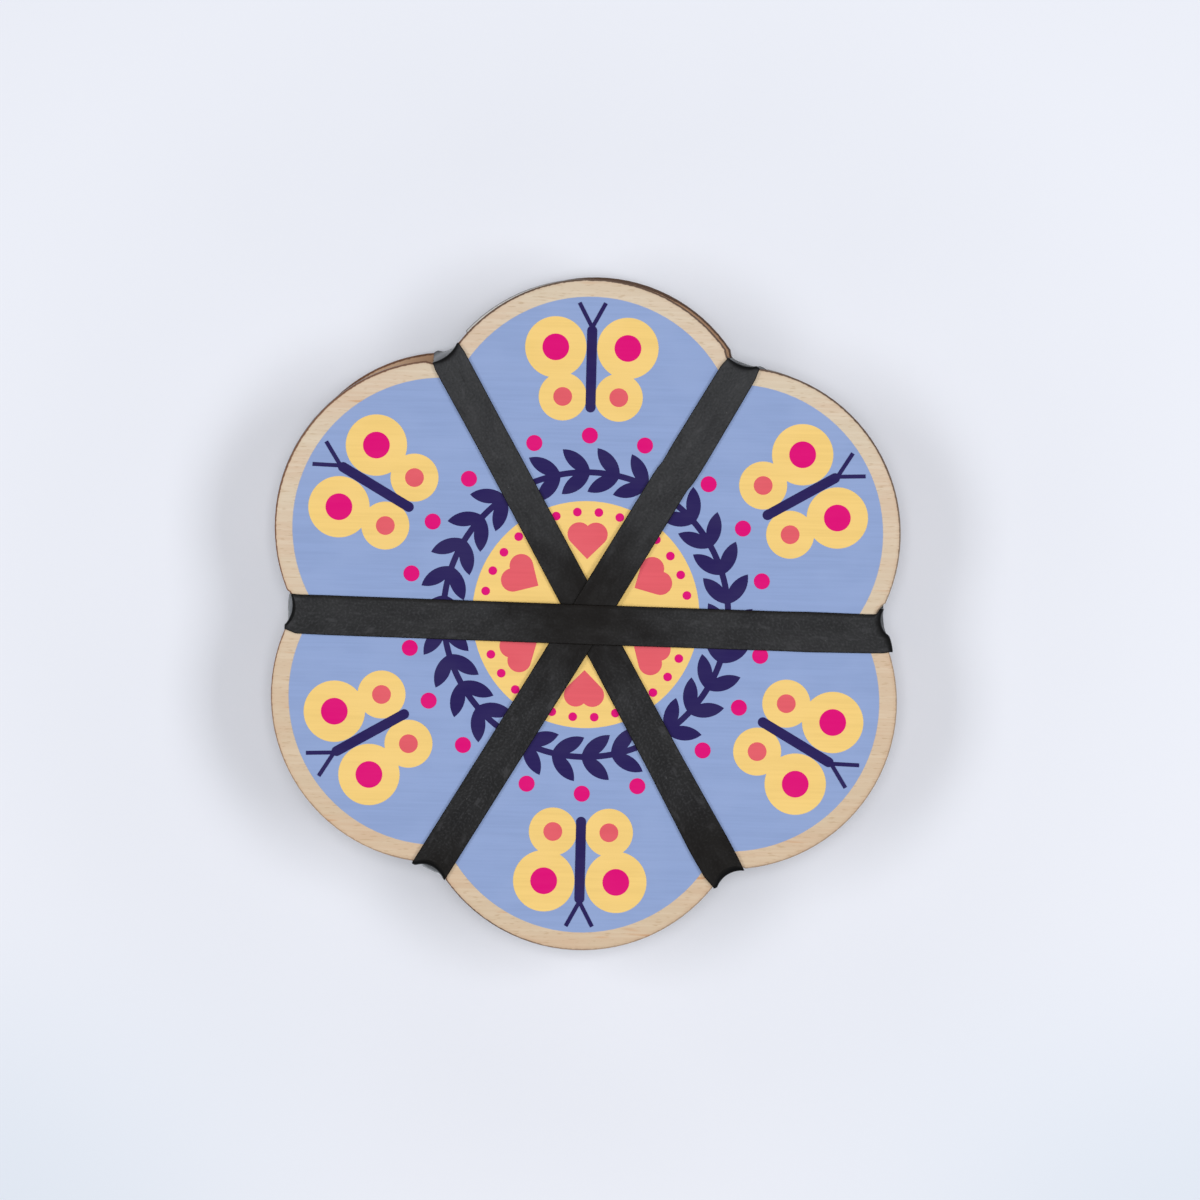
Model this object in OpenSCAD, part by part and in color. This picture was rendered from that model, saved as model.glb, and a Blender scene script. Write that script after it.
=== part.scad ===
// Flower press: two petal-shaped boards round a stack of cards and blotting papers, held by three rubber bands.
// The boards' middle lies on the Z axis, and the bands' crossing underneath rests on Z = 0.

/* [Boards] */
// Radius of each petal of the boards
petal_r = 50; // [44:1:60]
// Distance from the boards' middle to each petal's centre
petal_d = 50.5; // [46:0.5:56]
// Thickness of each board
board_t = 5; // [3:0.5:8]
// Radius of the scooped notch between two petals
notch_r = 6.6; // [6:0.1:10]
// How far each notch is cut inside the point where two petals meet
notch_cut = 0.1; // [0.1:0.1:3]

/* [Stack] */
// Thickness of a corrugated card
card_t = 3; // [2:0.1:5]
// Thickness of a blotting paper
paper_t = 0.5; // [0.3:0.1:1]
// Thickness of the paper that a card's faces and flutes are made of
liner_t = 0.35; // [0.2:0.05:0.5]
// Width of one flute of a card
flute_pitch = 6; // [4:0.5:9]
// How far the sheets stay inside the boards' petals
sheet_inset = 0.2; // [0.2:0.1:3]
// How much wider the sheets' notches are cut than the boards' notches, all round
sheet_relief = 3.9; // [2.8:0.1:4.2]

/* [Bands] */
// Width of the rubber bands, before the inner two are stretched narrower
band_w = 11.8; // [8:0.1:12]
// Thickness of a rubber band
band_t = 0.9; // [0.6:0.1:1.5]
// Radius inside the fold where a band turns over a board's edge
fold_r = 0.3; // [0.2:0.1:1]
// How far the outer band sits off its notch's middle at its end at -X
outer_shift_start = -1.8; // [-2:0.1:2]
// How far the outer band sits off its notch's middle at its end at +X
outer_shift_end = -3.8; // [-4:0.1:2]
// How far the middle band sits off its notch's middle at its lower left end
middle_shift_start = 0.4; // [-2:0.1:2]
// How far the middle band sits off its notch's middle at its upper right end
middle_shift_end = -1.4; // [-2:0.1:2]
// How far the inner band sits off its notch's middle at its lower right end
inner_shift_start = 0.9; // [-2:0.1:2]
// How far the inner band sits off its notch's middle at its upper left end
inner_shift_end = -0.9; // [-2:0.1:2]

/* [Skew] */
// How far the bottom board has slipped towards +Y under the top board
slip_y = 2.9; // [0:0.1:4]
// How far one paper has slipped out of line towards -X
paper_slip_x = 0.8; // [0:0.1:1]
// How far the same paper has slipped out of line towards +Y
paper_slip_y = 1; // [0:0.1:1.5]

/* [Print] */
// Thickness of one layer of ink
ink_t = 0.08; // [0.04:0.01:0.2]
// Width of the bare wood round the printed ground
border_w = 5.3; // [3:0.1:10]
// Gap between one ring of the print and the next
print_gap = 1.9; // [1:0.1:3]
// Radius of the yellow disc in the middle
disc_r = 34; // [28:1:38]
// Width of the leaf wreath's ring
wreath_w = 1.8; // [1:0.1:3]
// Length of a leaf of the wreath
leaf_l = 11; // [8:0.5:12]
// Width of a leaf of the wreath
leaf_w = 4.4; // [3:0.2:5]
// Radius of a berry
berry_r = 2.4; // [1.5:0.1:3]
// Half the width of a butterfly's spread wings
butterfly_s = 20; // [15:0.5:22]
// Width of a butterfly's feeler
feeler_w = 1.2; // [0.8:0.1:1.5]
// Width of a heart
heart_w = 12; // [8:0.5:14]
// Radius of a dot
dot_r = 1.3; // [0.8:0.1:1.6]

/* [Hidden] */
$fn = 96;
petal_count = 6;
packet_count = 4;
band_count = 3;
petal_step = 360 / petal_count;
half_step = petal_step / 2;

// Named clearances
sheet_gap = 0.02;
band_gap = 0.05;
band_side_gap = 0.35;
crossing_margin = 1;

// Turns of the bottom board and of the slipped paper, in degrees
bottom_turn = -1.66;
paper_turn = 0.4;
// Down to this share of the stack's depth the sheets stay in line with the top board
lag_share = 0.4;

// The valley between two petals, and the notch's place in it
valley_x = petal_d * cos(half_step) + sqrt(pow(petal_r, 2) - pow(petal_d * sin(half_step), 2));
notch_x = valley_x - notch_cut + notch_r;

// The stack, from the bottom: card, paper, paper, card, and so on up to a last card
sheets_per_packet = 3;
sheet_count = packet_count * sheets_per_packet + 1;
card_count = packet_count + 1;
paper_count = sheet_count - card_count;
band_step = band_t + band_gap;
base_z = band_count * band_step;
stack_z = base_z + board_t + sheet_gap;
top_z = sheet_z(sheet_count);
face_z = top_z + board_t;
ink_levels = 3;
ink_z = face_z + ink_levels * ink_t;

CARDS = [for (i = [1:card_count]) str("card_", i)];
PAPERS = [for (i = [1:paper_count]) str("blotting_paper_", i)];
BOARDS = ["bottom_board", "top_board"];
INKS = ["print_ground", "print_yellow", "print_coral", "print_magenta", "print_indigo"];
BANDS = ["band_inner", "band_middle", "band_outer"];

wood = [0.87, 0.78, 0.65];
kraft = [0.72, 0.57, 0.40];
cream = [0.95, 0.94, 0.90];
rubber = [0.16, 0.16, 0.17];
blue = [0.58, 0.65, 0.84];
yellow = [0.96, 0.82, 0.51];
coral = [0.89, 0.39, 0.42];
magenta = [0.87, 0.07, 0.47];
indigo = [0.19, 0.15, 0.36];

// Cards below the sheet with this index, counted from zero
function cards_below(index) = ceil(index / sheets_per_packet);
function sheet_z(index) =
    stack_z + cards_below(index) * (card_t + sheet_gap)
    + (index - cards_below(index)) * (paper_t + sheet_gap);
function card_index(number) = (number - 1) * sheets_per_packet;
function paper_index(number) = number - 1 + ceil(number / (sheets_per_packet - 1));

// How far down the stack a height lies, as a share, and how far a sheet there follows the bottom board's slip
function depth_share(z) = (top_z - z) / (top_z - base_z);
function follow_share(z) = max(0, depth_share(z) - lag_share);

// Outline of a board or sheet: petals drawn in by an inset, and notches widened by a relief
module petals(inset) {
    circle(r = petal_d);
    for (k = [0:petal_count - 1])
        rotate(half_step + k * petal_step) translate([petal_d, 0]) circle(r = petal_r - inset);
}

module outline(inset, relief) {
    difference() {
        petals(inset);
        for (k = [0:petal_count - 1])
            rotate(k * petal_step) translate([notch_x, 0]) circle(r = notch_r + relief);
    }
}

// Places something as the top board, the bottom board or a sheet at a height lies in plan
module in_top_frame() {
    translate([0, -slip_y / 2, 0]) children();
}

module in_bottom_frame() {
    translate([0, slip_y / 2, 0]) rotate(bottom_turn) children();
}

module in_sheet_frame(z) {
    share = follow_share(z);
    translate([0, slip_y * (share - 0.5), z]) rotate(bottom_turn * share) children();
}

module top_board() {
    color(wood)
        in_top_frame() translate([0, 0, top_z]) linear_extrude(board_t) outline(0, 0);
}

module bottom_board() {
    color(wood)
        in_bottom_frame() translate([0, 0, base_z]) linear_extrude(board_t) outline(0, 0);
}

// A flute's hollow in a card's section, open side up for side 1 and down for side -1
flute_root_share = 0.05;
flute_mouth_share = 0.4;
module flute_hollow(side) {
    root_half = flute_pitch * flute_root_share;
    mouth_half = flute_pitch * flute_mouth_share;
    deep = card_t / 2 - liner_t;
    shallow = deep - liner_t;
    scale([1, side])
        polygon([[-root_half, -shallow], [root_half, -shallow], [mouth_half, deep], [-mouth_half, deep]]);
}

module card_section() {
    half = petal_d + petal_r;
    flutes = ceil(half / flute_pitch);
    translate([0, card_t / 2])
        difference() {
            square([2 * half, card_t], center = true);
            for (k = [-flutes:flutes]) {
                translate([k * flute_pitch, 0]) flute_hollow(1);
                translate([(k + 0.5) * flute_pitch, 0]) flute_hollow(-1);
            }
        }
}

module card(number) {
    reach = 2 * (petal_d + petal_r);
    color(kraft)
        in_sheet_frame(sheet_z(card_index(number)))
            intersection() {
                linear_extrude(card_t) outline(sheet_inset, sheet_relief);
                rotate([90, 0, 0]) linear_extrude(reach, center = true) card_section();
            }
}

module blotting_paper(number) {
    slipped = number == paper_count;
    slip = slipped ? [-paper_slip_x, paper_slip_y] : [0, 0];
    color(cream)
        in_sheet_frame(sheet_z(paper_index(number)))
            translate(slip)
                rotate(slipped ? paper_turn : 0)
                    linear_extrude(paper_t) outline(sheet_inset, sheet_relief);
}

// Inks lie on the top board's face, each layer on the one below
module on_face(level) {
    in_top_frame() translate([0, 0, face_z + level * ink_t]) linear_extrude(ink_t) children();
}

module per_petal() {
    for (k = [0:petal_count - 1]) rotate(k * petal_step) children();
}

// Angles along one petal's stretch of the wreath and of the rows of dots, as shares of the angle between petals
leaf_place_shares = [-0.4, -0.2, 0, 0.2, 0.4];
berry_place_shares = [-0.3, 0, 0.3];
dot_place_shares = [-0.3, -0.1, 0.1, 0.3];
// How far along itself a leaf's middle stands off the ring, and how far the leaf leans over
leaf_out_share = 0.45;
leaf_lean = 50;
// Shares of a butterfly's half width: each wing's place across and along, and its radius, then its spot's radius
upper_wing_shares = [0.54, 0.32, 0.46, 0.20];
lower_wing_shares = [0.42, -0.42, 0.36, 0.14];
body_width_share = 0.15;
body_length_share = 1.3;
feeler_shares = [0.62, 0.42];
feeler_lean = 28;

// The rings of the print, each set off from the one before: hearts and dots in the disc, then wreath,
// berries and butterflies outside it
heart_side = heart_w / (1 + 1 / sqrt(2));
heart_height = heart_side * (0.5 + 0.75 * sqrt(2));
leaf_reach = (leaf_out_share + 0.5) * leaf_l * cos(leaf_lean);
dot_d = disc_r - print_gap - dot_r;
heart_d = dot_d - dot_r - print_gap - heart_height / 2;
wreath_r = disc_r + print_gap + leaf_reach;
berry_d = wreath_r + leaf_reach + print_gap + berry_r;
butterfly_d = berry_d + berry_r + print_gap + (lower_wing_shares[2] - lower_wing_shares[1]) * butterfly_s;

module wing(shares, radius) {
    for (side = [-1, 1])
        translate([side * shares[0] * butterfly_s, butterfly_d + shares[1] * butterfly_s]) circle(r = radius);
}

module butterfly_body() {
    half_w = body_width_share * butterfly_s / 2;
    half_l = body_length_share * butterfly_s / 2 - half_w;
    translate([0, butterfly_d]) {
        square([2 * half_w, 2 * half_l], center = true);
        for (side = [-1, 1]) {
            translate([0, side * half_l]) circle(r = half_w);
            translate([0, feeler_shares[0] * butterfly_s]) rotate(side * feeler_lean)
                translate([-feeler_w / 2, 0]) square([feeler_w, feeler_shares[1] * butterfly_s]);
        }
    }
}

// A leaf is where two equal discs overlap
module leaf() {
    r = (pow(leaf_l, 2) + pow(leaf_w, 2)) / (4 * leaf_w);
    intersection() {
        translate([r - leaf_w / 2, 0]) circle(r = r);
        translate([leaf_w / 2 - r, 0]) circle(r = r);
    }
}

module wreath() {
    difference() {
        circle(r = wreath_r + wreath_w / 2);
        circle(r = wreath_r - wreath_w / 2);
    }
    per_petal()
        for (place = leaf_place_shares, side = [-1, 1])
            rotate(place * petal_step)
                translate([0, wreath_r]) rotate(side > 0 ? leaf_lean : 180 - leaf_lean)
                    translate([0, leaf_out_share * leaf_l]) leaf();
}

// Discs in a row round the middle
module row(place_shares, distance, radius) {
    per_petal()
        for (place = place_shares)
            rotate(place * petal_step) translate([0, distance]) circle(r = radius);
}

// A heart with its point towards the middle: a square on its corner and two half discs on its upper sides
module heart() {
    translate([0, heart_d - heart_height / 2])
        rotate(45) {
            square(heart_side);
            translate([heart_side / 2, heart_side]) circle(r = heart_side / 2);
            translate([heart_side, heart_side / 2]) circle(r = heart_side / 2);
        }
}

module print_ground() {
    color(blue) on_face(0) petals(border_w);
}

module print_yellow() {
    color(yellow)
        on_face(1) {
            circle(r = disc_r);
            per_petal() {
                wing(upper_wing_shares, upper_wing_shares[2] * butterfly_s);
                wing(lower_wing_shares, lower_wing_shares[2] * butterfly_s);
            }
        }
}

module print_coral() {
    color(coral)
        on_face(2) per_petal() {
            heart();
            wing(lower_wing_shares, lower_wing_shares[3] * butterfly_s);
        }
}

module print_magenta() {
    color(magenta) {
        on_face(1) row(berry_place_shares, berry_d, berry_r);
        on_face(2) {
            row(dot_place_shares, dot_d, dot_r);
            per_petal() wing(upper_wing_shares, upper_wing_shares[3] * butterfly_s);
        }
    }
}

module print_indigo() {
    color(indigo) {
        on_face(1) wreath();
        on_face(2) per_petal() butterfly_body();
    }
}

// Bands. A band is followed fibre by fibre: a fibre runs along the band at one place across its width.
// Its plan is kept in the frame of the two notches that it spans: x runs along the band, y across it.
fibre_count = 13;
fold_angles = [90, 60, 30, 0];
side_shares = [0, 0.25, 0.5, 0.75, 1];
flatten_share = 0.8;

function turned(p, angle) = [p[0] * cos(angle) - p[1] * sin(angle), p[0] * sin(angle) + p[1] * cos(angle)];
function mixed(a, b, share) = a * (1 - share) + b * share;
function reversed(list) = [for (i = [len(list) - 1:-1:0]) list[i]];

// A place in the notches' frame, as it lies in plan on the top board (side 1) and on the bottom board (side -1)
function placed(p, angle, side) =
    turned(p, angle + (side > 0 ? 0 : bottom_turn)) + [0, -side * slip_y / 2];

// How far out the boards' edge lies at a place across the valley, grown outwards by some distance
function petal_edge(y, grow) =
    petal_d * cos(half_step)
    + sqrt(pow(petal_r + grow, 2) - pow(abs(y) - petal_d * sin(half_step), 2));
function notch_edge(y, grow) = notch_x - sqrt(max(0, pow(notch_r - grow, 2) - pow(y, 2)));
function edge(y, grow) = min(notch_edge(y, grow), petal_edge(y, grow));

// A band is [angle, level, shift at its start, shift at its end]. It is shifted on top, and centred underneath.
// The further in a band lies, the tighter it is stretched, and the narrower it gets
width_shares = [0.9, 0.96, 1];
function width(band) = band_w * width_shares[band[1]];
function shift_at(band, end, side) = side > 0 ? band[end < 0 ? 2 : 3] : 0;
function across_at(band, x, y, side) =
    y + mixed(shift_at(band, -1, side), shift_at(band, 1, side), (x / valley_x + 1) / 2);

// Half the length of a band's flat stretch over the bands that it crosses
crossing_slant = 180 / band_count;
function flat_half(band) =
    (band_w / sin(crossing_slant) + band_w / tan(crossing_slant)) / 2
    + abs(band[2] + band[3]) / 2 / tan(crossing_slant) + crossing_margin;

// Heights of a band's two faces (layer 0 next to the boards, layer 1 outside), on side 1 (top) or side -1 (bottom)
function run_z(side, layer, level) =
    (side > 0 ? ink_z : base_z) + side * (band_gap + layer * band_t + level * band_step);

function flat_point(band, end, side, y, layer) =
    let (x = end * flat_half(band))
    concat(placed([x, across_at(band, x, y, side)], band[0], side), run_z(side, layer, band[1]));

// The fold over a board's edge, from the run (90 degrees) to the side (0 degrees)
function fold_point(band, end, side, y, layer, angle) =
    let (across = y + shift_at(band, end, side))
    let (near = edge(across, band_side_gap))
    let (far = edge(across, band_side_gap + band_t))
    let (x = near - fold_r + (fold_r + layer * (far - near)) * cos(angle))
    let (z = run_z(side, 0, 0) - side * fold_r + side * (fold_r + layer * band_t) * sin(angle))
    concat(placed([end * x, across], band[0], side), z);

// How far a fibre on the band's side moves out as the band's hollow flattens between the boards
function hollow(band, end, side, y, layer) =
    let (grow = band_side_gap + layer * band_t)
    let (shift = shift_at(band, end, side))
    let (brims = [for (s = [-1, 1]) edge(shift + s * width(band) / 2, grow)])
    max(0, mixed(brims[0], brims[1], y / width(band) + 0.5) - edge(y + shift, grow));

// Where the band leaves a board's notch, at the board's inner face
function wall_point(band, end, side, y, layer) =
    let (fold = fold_point(band, end, side, y, layer, 0))
    [fold[0], fold[1], side > 0 ? top_z : base_z + board_t];

function side_point(band, end, y, layer, share) =
    let (upper = wall_point(band, end, 1, y, layer))
    let (lower = wall_point(band, end, -1, y, layer))
    let (out = flatten_share * sin(180 * share) * mixed(hollow(band, end, 1, y, layer),
                                                        hollow(band, end, -1, y, layer), share))
    mixed(upper, lower, share) + concat(turned([end * out, 0], band[0]), 0);

function end_points(band, end, y, layer) =
    concat([for (a = fold_angles) fold_point(band, end, 1, y, layer, a)],
           [for (s = side_shares) side_point(band, end, y, layer, s)],
           [for (a = reversed(fold_angles)) fold_point(band, end, -1, y, layer, a)]);

function fibre(band, y, layer) =
    concat([flat_point(band, -1, 1, y, layer), flat_point(band, 1, 1, y, layer)],
           end_points(band, 1, y, layer),
           [flat_point(band, 1, -1, y, layer), flat_point(band, -1, -1, y, layer)],
           reversed(end_points(band, -1, y, layer)));

// One band as a closed loop: its inner and outer faces, and its two long edges
module band_loop(band) {
    fibres = [for (layer = [0, 1], j = [0:fibre_count - 1])
              fibre(band, width(band) * (j / (fibre_count - 1) - 0.5), layer)];
    stations = len(fibres[0]);
    points = [for (f = fibres) each f];
    corner = function (layer, j, i) (layer * fibre_count + j) * stations + i % stations;
    faces = [
        for (i = [0:stations - 1]) each [
            for (j = [0:fibre_count - 2]) each [
                [corner(1, j, i), corner(1, j + 1, i), corner(1, j, i + 1)],
                [corner(1, j + 1, i), corner(1, j + 1, i + 1), corner(1, j, i + 1)],
                [corner(0, j, i), corner(0, j, i + 1), corner(0, j + 1, i)],
                [corner(0, j + 1, i), corner(0, j, i + 1), corner(0, j + 1, i + 1)]
            ],
            [corner(0, 0, i), corner(1, 0, i), corner(0, 0, i + 1)],
            [corner(1, 0, i), corner(1, 0, i + 1), corner(0, 0, i + 1)],
            [corner(0, fibre_count - 1, i), corner(0, fibre_count - 1, i + 1), corner(1, fibre_count - 1, i)],
            [corner(1, fibre_count - 1, i), corner(0, fibre_count - 1, i + 1), corner(1, fibre_count - 1, i + 1)]
        ]
    ];
    color(rubber) polyhedron(points = points, faces = faces);
}

module band_inner() {
    band_loop([2 * petal_step, 0, inner_shift_start, inner_shift_end]);
}

module band_middle() {
    band_loop([petal_step, 1, middle_shift_start, middle_shift_end]);
}

module band_outer() {
    band_loop([0, 2, outer_shift_start, outer_shift_end]);
}

bottom_board();
for (i = [1:card_count]) card(i);
for (i = [1:paper_count]) blotting_paper(i);
top_board();
print_ground();
print_yellow();
print_coral();
print_magenta();
print_indigo();
band_inner();
band_middle();
band_outer();
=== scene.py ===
import math

import bpy
import numpy as np
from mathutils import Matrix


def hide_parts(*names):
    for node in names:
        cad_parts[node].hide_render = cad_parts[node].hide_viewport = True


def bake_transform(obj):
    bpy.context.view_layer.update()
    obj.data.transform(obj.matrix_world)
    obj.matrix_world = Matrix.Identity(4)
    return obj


# Flower press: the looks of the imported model. Lengths that come from part.scad are in millimetres here too, and
# turn into metres where a mesh, a place or a texture is made. Lengths that only the materials use are in metres.
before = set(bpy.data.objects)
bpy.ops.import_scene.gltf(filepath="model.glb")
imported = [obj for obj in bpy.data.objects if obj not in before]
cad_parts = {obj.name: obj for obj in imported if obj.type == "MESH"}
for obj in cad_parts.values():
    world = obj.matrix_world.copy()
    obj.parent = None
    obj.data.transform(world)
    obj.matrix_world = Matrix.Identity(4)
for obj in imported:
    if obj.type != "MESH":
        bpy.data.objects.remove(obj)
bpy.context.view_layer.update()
MM = 0.001

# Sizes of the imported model, in millimetres and degrees
PETAL_R, PETAL_D = 50.0, 50.5
BOARD_T = 5.0
NOTCH_R, NOTCH_CUT = 6.6, 0.1
BAND_W, BAND_T = 11.8, 0.9
FOLD_R = 0.3
BAND_GAP, BAND_SIDE_GAP = 0.05, 0.35
INK_T, INK_LEVELS = 0.08, 3
CARD_T, PAPER_T, SHEET_GAP = 3.0, 0.5, 0.02
SHEET_INSET, SHEET_RELIEF = 0.2, 3.9
FLUTE_PITCH = 6.0
CARD_COUNT, PAPER_COUNT, BAND_COUNT = 5, 8, 3
SHEETS_PER_PACKET = 3
# The slip between the boards, the bottom board's turn, and what the topmost paper has slipped and turned besides
SLIP_Y, BOTTOM_TURN = 2.9, -1.66
PAPER_SLIP, PAPER_TURN = (-0.8, 1.0), 0.4
# The stack's upper share that lies straight under the top board
LAG_SHARE = 0.4

# Places that follow from the sizes
TOP_PLACE, BOTTOM_PLACE = (0.0, -SLIP_Y / 2), (0.0, SLIP_Y / 2)
HALF_STEP = math.radians(30)
VALLEY_X = PETAL_D * math.cos(HALF_STEP) + math.sqrt(PETAL_R ** 2 - (PETAL_D * math.sin(HALF_STEP)) ** 2)
NOTCH_X = VALLEY_X - NOTCH_CUT + NOTCH_R
BAND_STEP = BAND_T + BAND_GAP
BASE_Z = BAND_COUNT * BAND_STEP
STACK_Z = BASE_Z + BOARD_T + SHEET_GAP
TOP_Z = STACK_Z + CARD_COUNT * (CARD_T + SHEET_GAP) + PAPER_COUNT * (PAPER_T + SHEET_GAP)
FACE_Z = TOP_Z + BOARD_T
INK_Z = FACE_Z + INK_LEVELS * INK_T


def srgb(red, green, blue):
    """A colour written as in a picture, 0 to 255, as Blender's linear colour."""
    def linear(level):
        share = level / 255
        return share / 12.92 if share <= 0.04045 else ((share + 0.055) / 1.055) ** 2.4
    return (linear(red), linear(green), linear(blue), 1.0)


# Nodes
# A wall's colour turns into a face's between these sizes of the normal's Z
WALL_NORMAL_Z, FACE_NORMAL_Z = 0.3, 0.8


class Tree:
    """Short calls for a material's nodes. A value is a number, a tuple or another node's output."""

    def __init__(self, name):
        self.material = bpy.data.materials.new(name)
        self.material.use_nodes = True
        self.tree = self.material.node_tree
        self.shader = self.tree.nodes["Principled BSDF"]

    def node(self, kind, inputs=None, **settings):
        made = self.tree.nodes.new(kind)
        for key, value in settings.items():
            setattr(made, key, value)
        for key, value in (inputs or {}).items():
            self.put(made.inputs[key], value)
        return made

    def put(self, socket, value):
        if isinstance(value, bpy.types.NodeSocket):
            self.tree.links.new(value, socket)
        else:
            socket.default_value = value

    def set(self, **inputs):
        for key, value in inputs.items():
            self.put(self.shader.inputs[key.replace("_", " ")], value)

    def math(self, operation, *values):
        made = self.node("ShaderNodeMath", operation=operation)
        for place, value in enumerate(values):
            self.put(made.inputs[place], value)
        return made.outputs[0]

    def vector(self, operation, *values):
        made = self.node("ShaderNodeVectorMath", operation=operation)
        for place, value in enumerate(values):
            self.put(made.inputs[place], value)
        return made.outputs["Value" if operation in ("LENGTH", "DOT_PRODUCT", "DISTANCE") else "Vector"]

    def coords(self):
        return self.node("ShaderNodeTexCoord").outputs["Object"]

    def stretched(self, vector, scale, place=(0, 0, 0), turn=0.0):
        """The vector scaled, turned and moved: a texture of scale 1 then has a feature each 1 / scale metres."""
        return self.node("ShaderNodeMapping", {"Vector": vector, "Scale": scale, "Location": place,
                                               "Rotation": (0, 0, turn)}).outputs[0]

    def noise(self, vector, scale=1.0, detail=2.0, roughness=0.5, distortion=0.0):
        return self.node("ShaderNodeTexNoise", {"Vector": vector, "Scale": scale, "Detail": detail,
                                                "Roughness": roughness, "Distortion": distortion}).outputs[0]

    def band(self, value, low, high, out_low=0.0, out_high=1.0):
        """The value's way from low to high, as a smooth way from out_low to out_high."""
        return self.node("ShaderNodeMapRange", {"Value": value, "From Min": low, "From Max": high,
                                                "To Min": out_low, "To Max": out_high},
                         interpolation_type="SMOOTHSTEP").outputs[0]

    def mix(self, share, first, second, blend="MIX"):
        made = self.node("ShaderNodeMix", data_type="RGBA", blend_type=blend)
        self.put(made.inputs["Factor"], share)
        self.put(made.inputs[6], first)
        self.put(made.inputs[7], second)
        return made.outputs[2]

    def bump(self, height, depth, strength=1.0):
        made = self.node("ShaderNodeBump", {"Height": height, "Distance": depth, "Strength": strength})
        self.put(self.shader.inputs["Normal"], made.outputs[0])

    def parts(self, vector):
        made = self.node("ShaderNodeSeparateXYZ", {"Vector": vector})
        return made.outputs["X"], made.outputs["Y"], made.outputs["Z"]

    def facing_up(self):
        """1 on level faces, 0 on walls."""
        normal = self.node("ShaderNodeNewGeometry").outputs["True Normal"]
        return self.band(self.math("ABSOLUTE", self.parts(normal)[2]), WALL_NORMAL_Z, FACE_NORMAL_Z)

    def wandering(self, value, cloud, reach):
        """The value with a cloud's wandering round it, half of reach to either side."""
        return self.math("MULTIPLY_ADD", self.math("SUBTRACT", cloud, 0.5), reach, value)


def outline_distance(tree, coords, centre, turn, inset=0.0, relief=0.0):
    """How far inside the outline of a board or sheet a place lies, in metres."""
    moved = tree.vector("SUBTRACT", coords, (centre[0] * MM, centre[1] * MM, 0))
    flat = tree.vector("MULTIPLY", moved, (1, 1, 0))
    x, y, _ = tree.parts(tree.stretched(flat, (1, 1, 1), turn=-math.radians(turn)))
    reach = tree.vector("LENGTH", flat)
    angle = tree.math("ARCTAN2", y, x)
    folded = tree.math("ABSOLUTE", tree.math("SUBTRACT", tree.math("FLOORED_MODULO", angle, 2 * HALF_STEP),
                                             HALF_STEP))
    place = tree.node("ShaderNodeCombineXYZ", {"X": tree.math("MULTIPLY", reach, tree.math("COSINE", folded)),
                                               "Y": tree.math("MULTIPLY", reach, tree.math("SINE", folded))})
    to_petal = tree.vector("DISTANCE", place.outputs[0], (PETAL_D * MM, 0, 0))
    notch = (NOTCH_X * MM * math.cos(HALF_STEP), NOTCH_X * MM * math.sin(HALF_STEP), 0)
    to_notch = tree.vector("DISTANCE", place.outputs[0], notch)
    in_petals = tree.math("MAXIMUM", tree.math("SUBTRACT", (PETAL_R - inset) * MM, to_petal),
                          tree.math("SUBTRACT", PETAL_D * MM, reach))
    return tree.math("MINIMUM", in_petals, tree.math("SUBTRACT", to_notch, (NOTCH_R + relief) * MM))


def sheet_place(index):
    """Centre and turn of the sheet with this index in the stack, counted from zero."""
    cards_below = math.ceil(index / SHEETS_PER_PACKET)
    height = STACK_Z + cards_below * (CARD_T + SHEET_GAP) + (index - cards_below) * (PAPER_T + SHEET_GAP)
    share = max(0.0, (TOP_Z - height) / (TOP_Z - BASE_Z) - LAG_SHARE)
    return (0.0, SLIP_Y * (share - 0.5)), BOTTOM_TURN * share


# Wood: pale maple with fine fibres along X, short dark flecks, a few brown streaks, a warmer tone towards -Y,
# and a laser-burnt edge; on the bottom board, painted shade where the top board shades it
MAPLE, MAPLE_PINK, MAPLE_PALE = srgb(212, 195, 171), srgb(212, 188, 163), srgb(221, 206, 184)
STREAK, FLECK = srgb(200, 146, 98), srgb(184, 156, 122)
# Brown haze colours: laser smoke on the top board, painted shade on the bottom board under the top board's edge
SMOKE_AND_SHADE, SMOKE_AND_SHADE_PALE = srgb(180, 140, 108), srgb(202, 166, 134)
WARMER, WARM_REACH = (0.96, 0.90, 0.83, 1.0), 0.07
BURNT, BURNT_WARM, CHAR = srgb(74, 50, 36), srgb(104, 62, 36), srgb(36, 25, 19)
PLY_LIGHT = srgb(150, 108, 70)
PLY_COUNT = 4
# How far in the brown haze along the edge starts, and the places along X between which it turns paler
SMOKE_AND_SHADE_FROM, SMOKE_AND_SHADE_PALE_AT = 0.0002, (-0.048, -0.062)
# The burnt line along the edge: how far it wanders, how much wider it grows towards +Y as painted shade, and its
# darkest share
LINE_WANDER, LINE_SHADE_WIDER, LINE_SHARE = 0.0005, 0.0002, 0.95
# How far the fibres shift the plies on the walls
PLY_WANDER = 1.6


def grain_height(tree, coords, seed):
    """Fibres: 0 to 1, about 0.4 mm apart and 20 mm long."""
    fine = tree.noise(tree.stretched(coords, (45, 1500, 600), place=(seed, 0, 0)), detail=3)
    broad = tree.noise(tree.stretched(coords, (14, 260, 120), place=(0, seed, 0)), detail=2, distortion=0.4)
    return tree.math("ADD", tree.math("MULTIPLY", fine, 0.6), tree.math("MULTIPLY", broad, 0.4))


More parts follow.
